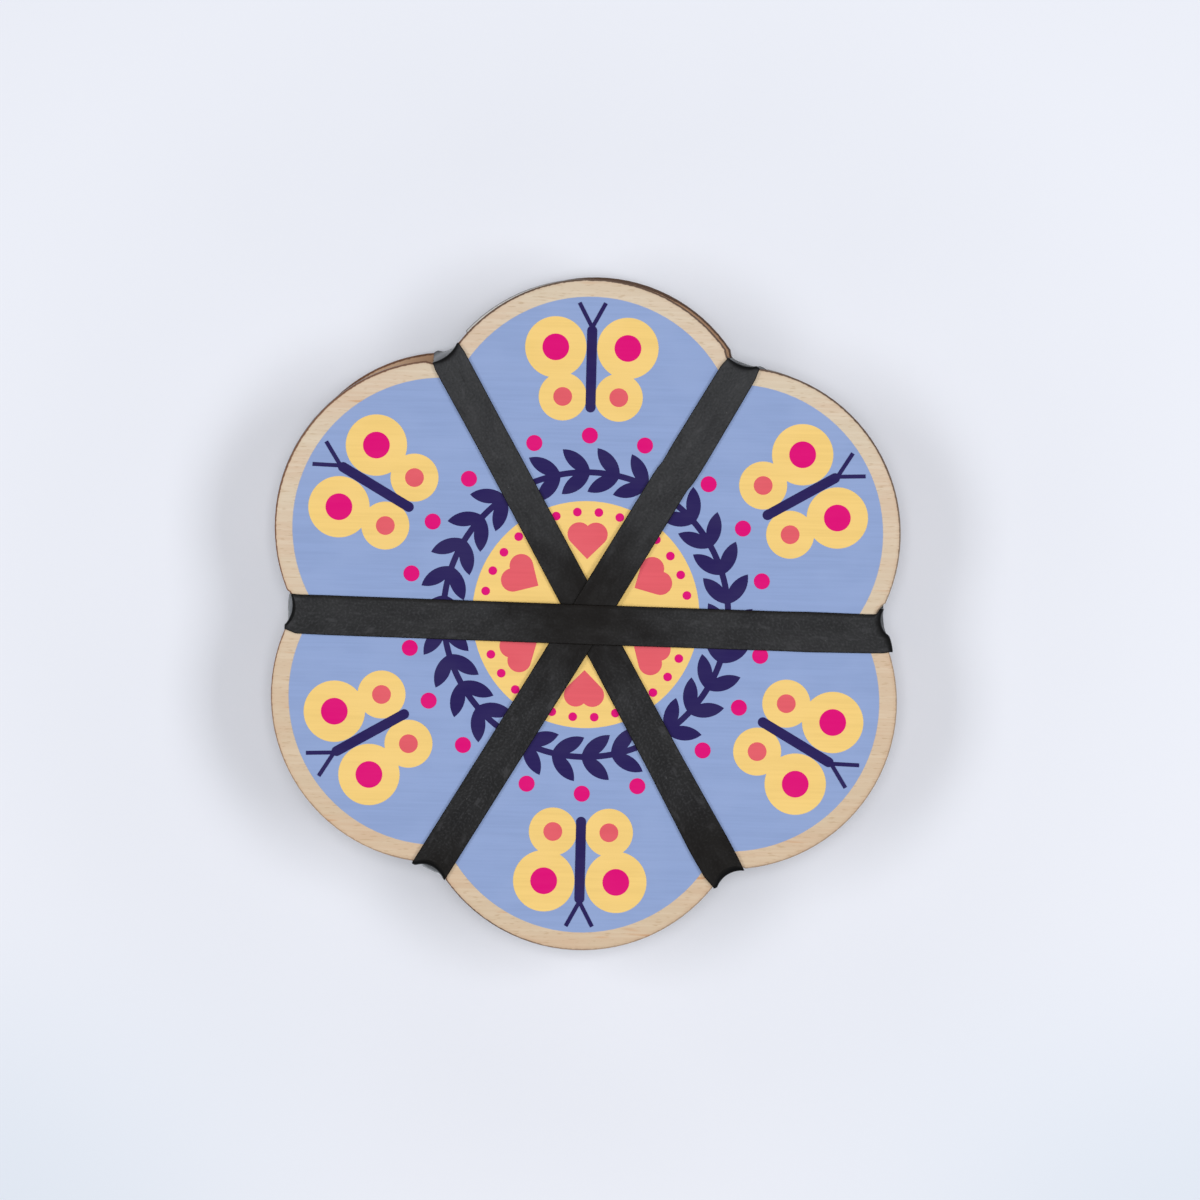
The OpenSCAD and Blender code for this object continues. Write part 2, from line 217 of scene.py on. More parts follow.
def maple(tree, coords, fibres, along, seed):
    """The colour of the plain wood."""
    cloud = tree.noise(tree.stretched(coords, (30, 90, 60), place=(seed, seed, 0)), detail=3)
    colour = tree.mix(tree.band(cloud, 0.35, 0.68), MAPLE, MAPLE_PINK)
    colour = tree.mix(tree.band(fibres, 0.42, 0.66, 0, 0.6), colour, MAPLE_PALE)
    flecks = tree.noise(tree.stretched(coords, (330, 1900, 900), place=(seed, 3, 0)), detail=1)
    colour = tree.mix(tree.band(flecks, 0.58, 0.74, 0, 0.5), colour, FLECK)
    streaks = tree.noise(tree.stretched(coords, (52, 620, 300), place=(seed * 2, 7, 1)), detail=1, roughness=0.3)
    colour = tree.mix(tree.band(streaks, 0.70, 0.80, 0, 0.75), colour, STREAK)
    return tree.mix(tree.band(along, WARM_REACH, -WARM_REACH), colour, WARMER, blend="MULTIPLY")


def burnt_line(tree, reach, across, along, rim, flank_shade):
    """Share of the burnt line. It is darker and wider towards +Y, in part painted shade under the top board's
    edge, and darker on the -Y petal's left flank.
    """
    wider = tree.band(along, 0, 0.05, 0, LINE_SHADE_WIDER)
    # Painted shade: the line widens on the +Y petal's right flank, where the top board shades the bottom one
    if flank_shade:
        flank = tree.math("MULTIPLY", tree.band(across, 0, 0.005), tree.band(across, 0.030, 0.022, 0, flank_shade))
        wider = tree.math("ADD", wider, flank)
    line = tree.band(tree.math("SUBTRACT", reach, wider), *rim, LINE_SHARE, 0)
    lean = tree.math("SUBTRACT", along, tree.math("MULTIPLY", across, 0.3))
    low_left = tree.math("MULTIPLY", tree.band(along, -0.07, -0.085), tree.band(across, 0.01, -0.03, 0, 0.5))
    share = tree.math("ADD", tree.band(lean, -0.05, 0.03, 0.5, 1), low_left)
    return tree.math("MULTIPLY", line, share)


def charred_wall(tree, coords, fibres, height, under_z):
    """The colour of a board's walls: charred plies, one light and one dark in turn."""
    level = tree.math("MULTIPLY", tree.math("SUBTRACT", height, under_z * MM), PLY_COUNT / (BOARD_T * MM))
    wave = tree.math("SINE", tree.math("MULTIPLY", level, math.pi))
    colour = tree.mix(tree.band(tree.wandering(wave, fibres, PLY_WANDER), -0.5, 0.9), CHAR, BURNT)
    worn = tree.noise(tree.stretched(coords, (220, 220, 60)), detail=3)
    return tree.mix(tree.band(worn, 0.52, 0.75, 0, 0.5), colour, PLY_LIGHT)


def wood(name, centre, turn, seed, under_z, smoke_and_shade=(0.0016, 0.28), rim=(0.0002, 0.0005), flank_shade=0.0):
    """A board with its underside at under_z. smoke_and_shade is how far the brown haze reaches and its share:
    laser smoke, and painted shade on the bottom board. rim is where the burnt line ends, and flank_shade how much
    wider that line is on the +Y petal's right flank, as painted shade."""
    tree = Tree(name)
    coords = tree.coords()
    across, along, height = tree.parts(coords)
    fibres = grain_height(tree, coords, seed)
    colour = maple(tree, coords, fibres, along, seed)
    inside = outline_distance(tree, coords, centre, turn)
    reach = tree.wandering(inside, tree.noise(coords, scale=900, detail=2), LINE_WANDER)
    # The brown haze along the edge: laser smoke, and on the bottom board painted shade under the top board
    haze = tree.mix(tree.band(across, *SMOKE_AND_SHADE_PALE_AT), SMOKE_AND_SHADE, SMOKE_AND_SHADE_PALE)
    colour = tree.mix(tree.band(reach, SMOKE_AND_SHADE_FROM, *smoke_and_shade, 0), colour, haze)
    # The burnt line is browner towards -X
    burnt = tree.mix(tree.band(across, -0.02, -0.07), BURNT, BURNT_WARM)
    colour = tree.mix(burnt_line(tree, reach, across, along, rim, flank_shade), colour, burnt)
    colour = tree.mix(tree.facing_up(), charred_wall(tree, coords, fibres, height, under_z), colour)
    tree.set(Base_Color=colour, Roughness=tree.band(fibres, 0.3, 0.7, 0.62, 0.5), Specular_IOR_Level=0.28)
    tree.bump(fibres, 0.00006, 0.6)
    return tree.material


def ink(name, colour, seed, grain):
    """Flat print on the wood: the fibres and pores show through faintly."""
    tree = Tree(name)
    coords = tree.coords()
    fibres = grain_height(tree, coords, seed)
    pores = tree.noise(tree.stretched(coords, (70, 2200, 600), place=(seed, 1, 0)), detail=1)
    cloud = tree.noise(tree.stretched(coords, (60, 90, 60), place=(seed, 0, 2)), detail=2)
    deeper = tuple(level * (1 - 2.2 * grain) for level in colour[:3]) + (1,)
    paler = tuple(level + (1 - level) * grain * 0.5 for level in colour[:3]) + (1,)
    shown = tree.mix(tree.band(fibres, 0.3, 0.7), deeper, colour)
    shown = tree.mix(tree.band(cloud, 0.4, 0.7, 0, 0.6), shown, paler)
    shown = tree.mix(tree.band(pores, 0.66, 0.76, 0, 0.5), shown, deeper)
    tree.set(Base_Color=shown, Roughness=tree.band(fibres, 0.3, 0.7, 0.65, 0.55), Specular_IOR_Level=0.08)
    tree.bump(fibres, 0.00003, 0.5)
    return tree.material


# Paper and card
PAPER_PALE, PAPER, PAPER_CLOUD = srgb(244, 244, 244), srgb(228, 229, 230), srgb(232, 230, 224)
# A thin grey line of painted shadow along the papers' cut edge, and how far in it starts and ends
PAPER_EDGE_SHADE, PAPER_EDGE_SHADE_FROM, PAPER_EDGE_SHADE_TO = srgb(128, 130, 134), 0.00015, 0.0004
KRAFT_DARK, KRAFT_PALE = srgb(150, 112, 74), srgb(186, 148, 104)
KRAFT_CLOUD, KRAFT_STRIPE = srgb(166, 130, 90), srgb(140, 104, 68)


def paper(name, seed, centre, turn):
    """Blotting paper: soft fibres, nearly white, and a thin grey line of painted shadow round its face."""
    tree = Tree(name)
    coords = tree.coords()
    fibres = tree.noise(tree.stretched(coords, (900, 900, 900), place=(seed, 0, 0)), detail=4, distortion=0.8)
    cloud = tree.noise(tree.stretched(coords, (70, 70, 70), place=(0, seed, 0)), detail=2)
    colour = tree.mix(tree.band(fibres, 0.35, 0.7), PAPER, PAPER_PALE)
    colour = tree.mix(tree.band(cloud, 0.4, 0.7, 0, 0.3), colour, PAPER_CLOUD)
    inside = outline_distance(tree, coords, centre, turn, SHEET_INSET, SHEET_RELIEF)
    # The grey line is painted shadow along the cut edge, on upward faces only
    rim = tree.math("MULTIPLY", tree.band(inside, PAPER_EDGE_SHADE_FROM, PAPER_EDGE_SHADE_TO, 0.85, 0), tree.facing_up())
    colour = tree.mix(rim, colour, PAPER_EDGE_SHADE)
    tree.set(Base_Color=colour, Roughness=0.95, Specular_IOR_Level=0.15)
    tree.bump(fibres, 0.0001, 0.5)
    return tree.material


def kraft():
    """Corrugated card: brown paper with fibres, and faint stripes over the flutes."""
    tree = Tree("kraft_card")
    coords = tree.coords()
    fibres = tree.noise(tree.stretched(coords, (380, 700, 700)), detail=4, distortion=0.6)
    cloud = tree.noise(coords, scale=60, detail=2)
    stripes = tree.math("SINE", tree.math("MULTIPLY", tree.parts(coords)[0], 2 * math.pi / (FLUTE_PITCH * MM)))
    colour = tree.mix(tree.band(fibres, 0.3, 0.7), KRAFT_DARK, KRAFT_PALE)
    colour = tree.mix(tree.band(cloud, 0.4, 0.7, 0, 0.4), colour, KRAFT_CLOUD)
    colour = tree.mix(tree.band(stripes, -1, 1, 0, 0.18), colour, KRAFT_STRIPE)
    tree.set(Base_Color=colour, Roughness=0.9, Specular_IOR_Level=0.2)
    tree.bump(fibres, 0.00008, 0.5)
    return tree.material


# Rubber
# The rubber's darkest tone, the same rubber made paler by painted sheen, and dust
RUBBER_DARK, RUBBER_SHEENED, RUBBER_DUST = srgb(27, 27, 28), srgb(52, 53, 55), srgb(72, 72, 75)
# Painted shade for the bands' edges, crossing, low ends and folds, and a painted sheen for their sides
RUBBER_SHADE, RUBBER_FOLD_SHADE, RUBBER_PAINTED_SHEEN = srgb(14, 10, 7), srgb(8, 8, 9), srgb(168, 173, 180)
RUBBER_SPECK, RUBBER_SHEEN = srgb(150, 150, 150), srgb(245, 250, 255)
# The painted sheen grows along Y over this half length, and the crossing's painted shade fades between these
# distances
SHEEN_REACH, SHEEN_WANDER = 0.1, 0.06
CROSSING_FROM, CROSSING_TO, CROSSING_WANDER = 0.002, 0.04, 0.03
# The two lowest ends are painted black shade between these places along Y, which lie lower with X by the slope
LOW_FROM, LOW_TO, LOW_SLOPE = -0.056, -0.076, -0.12
SHADED_FROM, SHADED_TO = 0.0045, 0.0055
# Names of the bands' attributes
PLACE, FOLD_SHADE, SIDE_SHEEN = "band_place", "band_fold_shade", "band_side_sheen"


def rubber(name, seed, shaded_rim=0.0):
    """Matte rubber. PLACE holds where a point lies along and across its band, in metres, and its painted edge
    shade.
    FOLD_SHADE is the share of painted shade at a fold, SIDE_SHEEN how pale a painted sheen makes the stretched
    rubber on the press's side, and shaded_rim how much darker the rim on the positive side across the band is."""
    tree = Tree(name)
    place = tree.node("ShaderNodeAttribute", attribute_name=PLACE).outputs["Vector"]
    _, from_middle, edge = tree.parts(place)
    flat = tree.vector("MULTIPLY", place, (1, 1, 0))
    cloud = tree.noise(tree.stretched(flat, (90, 160, 1), place=(seed, 0, 0)), detail=3)
    grit = tree.noise(tree.stretched(flat, (1400, 1400, 1), place=(seed, seed, 0)), detail=2)
    drawn = tree.noise(tree.stretched(flat, (60, 1100, 1), place=(0, seed, 0)), detail=1)
    # Painted sheen: paler towards +Y
    coords = tree.coords()
    x, y, _ = tree.parts(coords)
    painted_sheen = tree.band(tree.wandering(y, cloud, SHEEN_WANDER), -SHEEN_REACH, SHEEN_REACH)
    colour = tree.mix(painted_sheen, RUBBER_DARK, RUBBER_SHEENED)
    colour = tree.mix(tree.band(grit, 0.45, 0.75, 0, 0.4), colour, RUBBER_DUST)
    colour = tree.mix(tree.band(grit, 0.45, 0.25, 0, 0.4), colour, RUBBER_DARK)
    colour = tree.mix(tree.band(drawn, 0.55, 0.75, 0, 0.12), colour, RUBBER_DUST)
    # Faint creases across the band, each over part of its width
    wrinkle = tree.noise(tree.stretched(flat, (320, 26, 1), place=(seed * 3, 5, 0)), detail=1, distortion=0.3)
    crossing = tree.band(wrinkle, 0.71, 0.76)
    colour = tree.mix(tree.math("MULTIPLY", crossing, 0.5), colour, RUBBER_DARK)
    smudges = tree.noise(tree.stretched(flat, (190, 380, 1), place=(seed, 8, 0)), detail=4, distortion=0.2)
    colour = tree.mix(tree.band(smudges, 0.56, 0.72, 0, 0.35), colour, RUBBER_DUST)
    colour = tree.mix(tree.band(smudges, 0.42, 0.28, 0, 0.35), colour, RUBBER_DARK)
    specks = tree.node("ShaderNodeTexVoronoi", {"Vector": tree.stretched(flat, (420, 420, 1), place=(seed, 2, 0)),
                                                "Scale": 1.0, "Randomness": 1.0}).outputs["Distance"]
    dusty = tree.math("MULTIPLY", tree.band(specks, 0.03, 0.07, 1, 0), tree.band(smudges, 0.5, 0.62))
    colour = tree.mix(tree.math("MULTIPLY", dusty, 0.35), colour, RUBBER_SPECK)
    # Painted shade: blacker where the bands cross, at the two lowest ends, and along a shaded rim
    reach = tree.vector("LENGTH", tree.vector("MULTIPLY", coords, (1, 1, 0)))
    reach = tree.wandering(reach, cloud, CROSSING_WANDER)
    colour = tree.mix(tree.band(reach, CROSSING_FROM, CROSSING_TO, 0.8, 0), colour, RUBBER_SHADE)
    low = tree.math("MULTIPLY_ADD", x, LOW_SLOPE, y)
    colour = tree.mix(tree.band(low, LOW_FROM, LOW_TO, 0, 0.75), colour, RUBBER_SHADE)
    colour = tree.mix(tree.band(from_middle, SHADED_FROM, SHADED_TO, 0, shaded_rim), colour, RUBBER_SHADE)
    # Paler where a painted sheen lies on the sides, and painted black shade at its edges and folds
    # Painted sheen: the bright floor's reflection on the bands' sides, as a paler colour
    side_sheen = tree.node("ShaderNodeAttribute", attribute_name=SIDE_SHEEN).outputs["Fac"]
    colour = tree.mix(tree.math("MULTIPLY", side_sheen, tree.band(cloud, 0.2, 0.8, 0.2, 0.3)), colour, RUBBER_PAINTED_SHEEN)
    colour = tree.mix(tree.band(edge, 0.2, 1.0, 0, 0.95), colour, RUBBER_SHADE)
    # Painted shade at the folds over the boards' edges
    fold_shade = tree.node("ShaderNodeAttribute", attribute_name=FOLD_SHADE).outputs["Fac"]
    colour = tree.mix(fold_shade, colour, RUBBER_FOLD_SHADE)
    tree.set(Sheen_Weight=tree.math("MULTIPLY", side_sheen, 0.6), Sheen_Roughness=0.35, Sheen_Tint=RUBBER_SHEEN)
    tree.set(Base_Color=colour, Roughness=tree.band(cloud, 0.3, 0.7, 0.66, 0.54), Specular_IOR_Level=0.1)
    height = tree.math("SUBTRACT", tree.math("ADD", tree.math("MULTIPLY", grit, 0.5),
                                             tree.math("MULTIPLY", cloud, 1.2)),
                       tree.math("MULTIPLY", crossing, 0.6))
    tree.bump(height, 0.00008, 0.7)
    return tree.material


# Materials of the CAD nodes that show. An ink's second value is how strongly the grain shows through it.
INKS = {
    "print_ground": (srgb(145, 166, 211), 0.035),
    "print_yellow": (srgb(245, 208, 126), 0.035),
    "print_coral": (srgb(228, 94, 105), 0.03),
    "print_magenta": (srgb(222, 2, 118), 0.012),
    "print_indigo": (srgb(38, 28, 88), 0.02),
}
EDGE_BEVEL, BEVEL_ANGLE = 0.00015, 50


def dress(node, material, bevel=0.0):
    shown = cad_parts[node]
    shown.data.materials.clear()
    shown.data.materials.append(material)
    if bevel:
        rounding = shown.modifiers.new("edge", "BEVEL")
        rounding.width = bevel
        rounding.segments = 2
        rounding.limit_method = "ANGLE"
        rounding.angle_limit = math.radians(BEVEL_ANGLE)
        rounding.harden_normals = False


dress("top_board", wood("maple_top", TOP_PLACE, 0, 1.7, TOP_Z), bevel=EDGE_BEVEL)
# The bottom board shows only in the top board's shade: its wide full haze and wider burnt line are painted shade
dress("bottom_board", wood("maple_bottom", BOTTOM_PLACE, BOTTOM_TURN, 5.3, BASE_Z, smoke_and_shade=(0.011, 1.0),
                           rim=(0.0003, 0.0006), flank_shade=0.0003), bevel=EDGE_BEVEL)
for seed, (node, (colour, grain)) in enumerate(INKS.items(), 2):
    dress(node, ink(node + "_ink", colour, seed, grain))
card = kraft()
for number in range(1, CARD_COUNT + 1):
    dress(f"card_{number}", card)
for number in range(1, PAPER_COUNT + 1):
    # Counted in the whole stack, with a card below each pair of papers
    centre, turn = sheet_place(number - 1 + math.ceil(number / (SHEETS_PER_PACKET - 1)))
    if number == PAPER_COUNT:
        centre, turn = (centre[0] + PAPER_SLIP[0], centre[1] + PAPER_SLIP[1]), turn + PAPER_TURN
    dress(f"blotting_paper_{number}", paper(f"paper_{number}", 1.3 * number, centre, turn))


# Rubber bands. Each follows its route as in part.scad, with finer steps, rounded edges, and the offsets
# and widths that it has along its run on top. All lengths are in millimetres.
RUN_STEPS, FOLD_STEPS, SIDE_STEPS = 96, 8, 22
FACE_STEPS, CORNER_STEPS, CORNER_R = 30, 3, 0.22
CROSSING_MARGIN = 1.0
# The soft bands lie close to the boards away from their crossing: the power of the way down from it
SAG = 5
# Just before its folds on top a band arches up: how much, how far before the fold, and over what length
ARCH, ARCH_BEFORE, ARCH_LENGTH = 0.12, 4.5, 3.2
# The power of the half sine by which a side is drawn flat between the boards
FLAT_POWER = 0.75
# A run's offsets and widths count from here on as if every fibre's fold lay at FOLD_AT along the notches' frame
CURL_FROM, FOLD_AT = 80.0, 90.0
# How far the painted shade at a fold reaches, outwards to the side and inwards along the run
FOLD_SHADE_OUT, FOLD_SHADE_IN = 0.4, 0.95
# How far the painted shade along a band's edge reaches in from it
EDGE_SHADE_REACH = 0.75


def petal_edge(y, grow):
    """How far out the two petals beside a notch reach at y across it."""
    return PETAL_D * math.cos(HALF_STEP) + np.sqrt(
        (PETAL_R + grow) ** 2 - (np.abs(y) - PETAL_D * math.sin(HALF_STEP)) ** 2)


def notch_edge(y, grow):
    """How far out the notch's floor lies at y across it."""
    return NOTCH_X - np.sqrt(np.maximum(0, (NOTCH_R - grow) ** 2 - y ** 2))


def edge(y, grow):
    """How far out the boards' edge lies at y across a notch, grown outwards by some distance."""
    return np.minimum(notch_edge(y, grow), petal_edge(y, grow))


def placed(x, y, angle, side):
    """Plan coordinates of a place in the notches' frame, on the top board (side 1) or the bottom one (-1)."""
    turn = math.radians(angle + (0 if side > 0 else BOTTOM_TURN))
    centre = TOP_PLACE if side > 0 else BOTTOM_PLACE
    return (x * math.cos(turn) - y * math.sin(turn) + centre[0],
            x * math.sin(turn) + y * math.cos(turn) + centre[1])


def points(x, y, z):
    return np.stack([x, y, np.broadcast_to(z, np.shape(x))], axis=-1)


class End:
    """One end of a band. At the fold the rubber hugs the wood towards its rims, down to a share of its
    thickness at the low and the high rim, and swells in the middle. The side is drawn flat between the
    boards, its foot is shifted along the bottom board, and side_sheen is how pale its painted sheen makes it."""

    def __init__(self, rims=(0.1, 0.1), swell=0.0, flat=1.0, foot=0.0, side_sheen=0.0):
        self.rims, self.swell, self.flat, self.foot, self.side_sheen = rims, swell, flat, foot, side_sheen

    def reach(self, y, share, layer):
        """How far out a fibre lies on a wall."""
        rim = np.where(np.asarray(share) < 0, *self.rims)
        middle = 1 - (2 * share) ** 2
        return edge(y, (BAND_SIDE_GAP + layer * BAND_T) * (rim + (1 - rim) * middle) + layer * self.swell * middle)


class Band:
    """A route round the press. Offsets and widths are (place along the run, value) pairs."""

    def __init__(self, angle, level, offsets, widths, under_width, start, finish):
        self.angle, self.level = angle, level
        self.ends = {-1: start, 1: finish}
        self.offsets = np.array(offsets, float).T
        self.widths = np.array(widths, float).T
        self.under_width = under_width
        slant = math.radians(180 / BAND_COUNT)
        self.flat_half = ((BAND_W / math.sin(slant) + BAND_W / math.tan(slant)) / 2
                          + abs(self.offset(-VALLEY_X, 1) + self.offset(VALLEY_X, 1)) / 2 / math.tan(slant)
                          + CROSSING_MARGIN)

    def offset(self, x, side):
        feet = ((-FOLD_AT, FOLD_AT), (self.ends[-1].foot, self.ends[1].foot))
        return np.interp(x, *(self.offsets if side > 0 else feet))

    def width(self, x, side):
        return np.interp(x, *self.widths) if side > 0 else self.under_width

    def across(self, x, share, inset, side):
        """Where a fibre lies across the notches' frame, from its share of the width and its inset in mm."""
        return self.offset(x, side) + share * self.width(x, side) - np.sign(share) * inset

    def at_fold(self, end, share, inset, side):
        return self.across(end * FOLD_AT, share, inset, side)

    def run_z(self, x, far, side, layer):
        """Height of the run at x, where far is how far out the run ends."""
        level = self.level * np.clip((far - np.abs(x)) / (far - self.flat_half), 0, 1) ** SAG
        base = INK_Z if side > 0 else BASE_Z
        arch = ARCH * np.exp(-((far - np.abs(x) - ARCH_BEFORE) / ARCH_LENGTH) ** 2) if side > 0 else 0.0
        return base + side * (BAND_GAP + layer * BAND_T + level * BAND_STEP) + arch

    def run(self, side, share, inset, layer):
        """The run over a board, from fold to fold."""
        ends = []
        for end in (-1, 1):
            ends.append(self.ends[end].reach(self.at_fold(end, share, inset, side), share, 0) - FOLD_R)
        rows = []
        for step in range(1, RUN_STEPS):
            way = -math.cos(math.pi * step / RUN_STEPS)
            far = np.where(way < 0, ends[0], ends[1])
            x = way * far
            curl = np.maximum(0, np.abs(x) - CURL_FROM) * ((FOLD_AT - CURL_FROM) / (far - CURL_FROM) - 1)
            y = self.across(x + np.sign(x) * curl, share, inset, side)
            rows.append(points(*placed(x, y, self.angle, side), self.run_z(x, far, side, layer)))
        return rows

    def fold(self, end, side, share, inset, layer):
        """The fold over a board's edge, from the run to the wall."""
        y = self.at_fold(end, share, inset, side)
        near, out = (self.ends[end].reach(y, share, face) for face in (0, 1))
        start = INK_Z if side > 0 else BASE_Z
        rows = []
        for step in range(FOLD_STEPS + 1):
            a = math.pi / 2 * (1 - step / FOLD_STEPS)
            x = near - FOLD_R + (FOLD_R + layer * (out - near)) * math.cos(a)
            z = start + side * (BAND_GAP - FOLD_R + (FOLD_R + layer * BAND_T) * math.sin(a))
            rows.append(points(*placed(end * x, y, self.angle, side), z))
        return rows

    def hollow(self, end, side, share, inset, layer):
        """How far a fibre lies inside the chord between its band's two edges."""
        reach = self.ends[end].reach
        low, high = (reach(self.at_fold(end, half, 0, side), half, layer) for half in (-0.5, 0.5))
        own = reach(self.at_fold(end, share, inset, side), share, layer)
        return np.maximum(0, low + (high - low) * (share + 0.5) - own)

    def side_rows(self, end, share, inset, layer):
        """The way from the top board's inner face down to the bottom board's, flattened between them."""
        walls = []
        for side, z in ((1, TOP_Z), (-1, BASE_Z + BOARD_T)):
            y = self.at_fold(end, share, inset, side)
            near, out = (self.ends[end].reach(y, share, face) for face in (0, 1))
            walls.append(points(*placed(end * (near + layer * (out - near)), y, self.angle, side), z))
        turn = math.radians(self.angle)
        outward = np.array([math.cos(turn), math.sin(turn), 0]) * end
        hollows = [self.hollow(end, side, share, inset, layer) for side in (1, -1)]
        rows = []
        for step in range(SIDE_STEPS + 1):
            way = step / SIDE_STEPS
            bulge = self.ends[end].flat * math.sin(math.pi * way) ** FLAT_POWER
            out = bulge * (hollows[0] * (1 - way) + hollows[1] * way)
            rows.append(walls[0] * (1 - way) + walls[1] * way + out[:, None] * outward)
        return rows

    def rings(self):
        """Points of the closed tube: one ring of points across the band for each step round the press."""
        share, inset, layer = section()
        rows = self.run(1, share, inset, layer)
        rows += self.fold(1, 1, share, inset, layer)
        rows += self.side_rows(1, share, inset, layer)
        rows += self.fold(1, -1, share, inset, layer)[::-1]
        rows += self.run(-1, share, inset, layer)[::-1]
        rows += self.fold(-1, -1, share, inset, layer)
        rows += self.side_rows(-1, share, inset, layer)[::-1]
        rows += self.fold(-1, 1, share, inset, layer)[::-1]
        return np.array(rows)

    def fold_rows(self):
        """The rows in the middle of the two folds on top, at the run's finish and at its start."""
        half = FOLD_STEPS // 2
        return RUN_STEPS - 1 + half, -half - 1

    def side_sheens(self, rows):
        """How pale the painted sheen makes each row: the outer half of the upper folds and the sides, fading
        downwards.
        """
        length = FOLD_STEPS // 2 + SIDE_STEPS + 2
        fade = np.clip(2 * (1 - np.arange(length) / length), 0, 1)
        finish, start = self.fold_rows()
        pale = np.zeros(rows)
        pale[finish:finish + length] = self.ends[1].side_sheen * fade
        pale[rows + start + 1 - length:rows + start + 1] = self.ends[-1].side_sheen * fade[::-1]
        return pale


def section():
    """A band's cross section as shares of its width, insets from its edges in mm, and layers: 0 inside, 1 out."""
    corner = CORNER_R / BAND_T
    bends = [math.pi / 2 * step / CORNER_STEPS for step in range(CORNER_STEPS + 1)]
    half = [(-0.5, CORNER_R * (1 - math.sin(a)), 1 - corner * (1 - math.cos(a))) for a in reversed(bends)]
    half += [(s, 0.0, 1.0) for s in np.linspace(-0.5, 0.5, FACE_STEPS + 1)[1:-1]]
    half += [(0.5, CORNER_R * (1 - math.sin(a)), 1 - corner * (1 - math.cos(a))) for a in bends]
    ring = half + [(s, i, 1 - l) for s, i, l in reversed(half)]
    return tuple(np.array(column) for column in zip(*ring))


def tube(name, rings):
    """A closed tube mesh through rings of points, in millimetres."""
    steps, around = rings.shape[:2]
    corner = np.arange(steps * around).reshape(steps, around)
    after, beside = np.roll(corner, -1, 0), np.roll(corner, -1, 1)
    both = np.roll(after, -1, 1)
    faces = np.stack([corner, beside, both, after], -1).reshape(-1, 4)
    mesh = bpy.data.meshes.new(name)
    mesh.from_pydata((rings.reshape(-1, 3) * MM).tolist(), [], faces.tolist())
    mesh.validate()
    mesh.shade_smooth()
    made = bpy.data.objects.new(name, mesh)
    bpy.context.scene.collection.objects.link(made)
    return made


def make_band(name, band, material):
    """The band's mesh with its attributes, in the place of the CAD node of that name."""
    rings = band.rings()
    made = tube(name, rings)
    share, inset, layer = section()
    along = np.concatenate([[0], np.cumsum(np.linalg.norm(np.diff(rings, axis=0), axis=2).mean(1))])
    width = band.widths[1].mean()
    across = share * width - np.sign(share) * inset
    # Painted shade along the band's edges, full on its thin edge walls
    rim = np.clip((np.abs(across) - (width / 2 - EDGE_SHADE_REACH)) / EDGE_SHADE_REACH, 0, 1)
    rim = np.maximum(rim ** 2, np.where((layer > 0.05) & (layer < 0.95), 1.0, 0.0))
    values = np.zeros(rings.shape)
    values[..., 0] = along[:, None] * MM
    values[..., 1] = np.broadcast_to(across, rings.shape[:2]) * MM
    values[..., 2] = np.broadcast_to(rim, rings.shape[:2])
    attribute = made.data.attributes.new(PLACE, "FLOAT_VECTOR", "POINT")
    attribute.data.foreach_set("vector", values.reshape(-1).astype(np.float32))
    finish, start = band.fold_rows()
    # Painted shade at the two folds on top
    outward = np.stack([along - along[finish], along[start] - along])
    fold_shades = np.exp(-(outward / np.where(outward > 0, FOLD_SHADE_OUT, FOLD_SHADE_IN)) ** 2).max(0)
    for title, shares in ((FOLD_SHADE, fold_shades), (SIDE_SHEEN, band.side_sheens(len(rings)))):
        values = np.repeat(shares, rings.shape[1]).astype(np.float32)
        made.data.attributes.new(title, "FLOAT", "POINT").data.foreach_set("value", values)
    made.data.materials.append(material)
    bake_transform(made)
    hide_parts(name)
    made.name = name + "_stretched"


BANDS = {
    "band_inner": Band(120, 0, [(-90, 0.45), (-86, 0.78), (-76, 0.83), (-50, 0.57), (0, -0.03), (50, -0.6),
                                (90, -0.8)],
                       [(-90, 10.7), (-86, 11.7), (-78, 12.0), (-66, 11.5), (-50, 10.9), (0, 10.5), (60, 10.1),
                        (87, 10.4), (90, 9.7)],
                       10.8, End(rims=(0.6, 0.5), swell=0.65, side_sheen=0.05), End(foot=1.0, side_sheen=0.65)),
    "band_middle": Band(60, 1, [(-90, 0.35), (-50, -0.21), (-16, -0.71), (48, -1.0), (50.5, -1.5), (90, -1.35)],
                        [(-90, 11.1), (-50, 11.1), (-10, 11.5), (46, 11.3), (58, 11.6), (80, 11.2), (86.5, 11.0),
                         (90, 9.9)],
                        11.2, End(rims=(0.4, 0.7), swell=0.5, flat=1.8, side_sheen=1.0),
                        End(flat=0.8, foot=-1.9, side_sheen=0.25)),
    "band_outer": Band(0, 2, [(-90, -1.05), (-86.8, -1.75), (-70, -2.01), (0, -2.98), (60, -3.66), (84, -3.81),
                              (88.5, -3.75), (90, -2.75)],
                       [(-90, 10.7), (-86.8, 11.7), (-78, 11.9), (60, 11.9), (66, 12.1), (84, 11.7), (88.5, 11.6),
                        (90, 12.9)],
                       11.8, End(flat=1.4, side_sheen=0.8),
                       End(rims=(0.85, 0.9), swell=0.5, flat=0.8, side_sheen=0.25)),
}
SHADED_RIM = {"band_outer": 0.7}
for place, (name, band) in enumerate(BANDS.items()):
    make_band(name, band, rubber("rubber_" + name, 3.0 + 2.1 * place, SHADED_RIM.get(name, 0.0)))


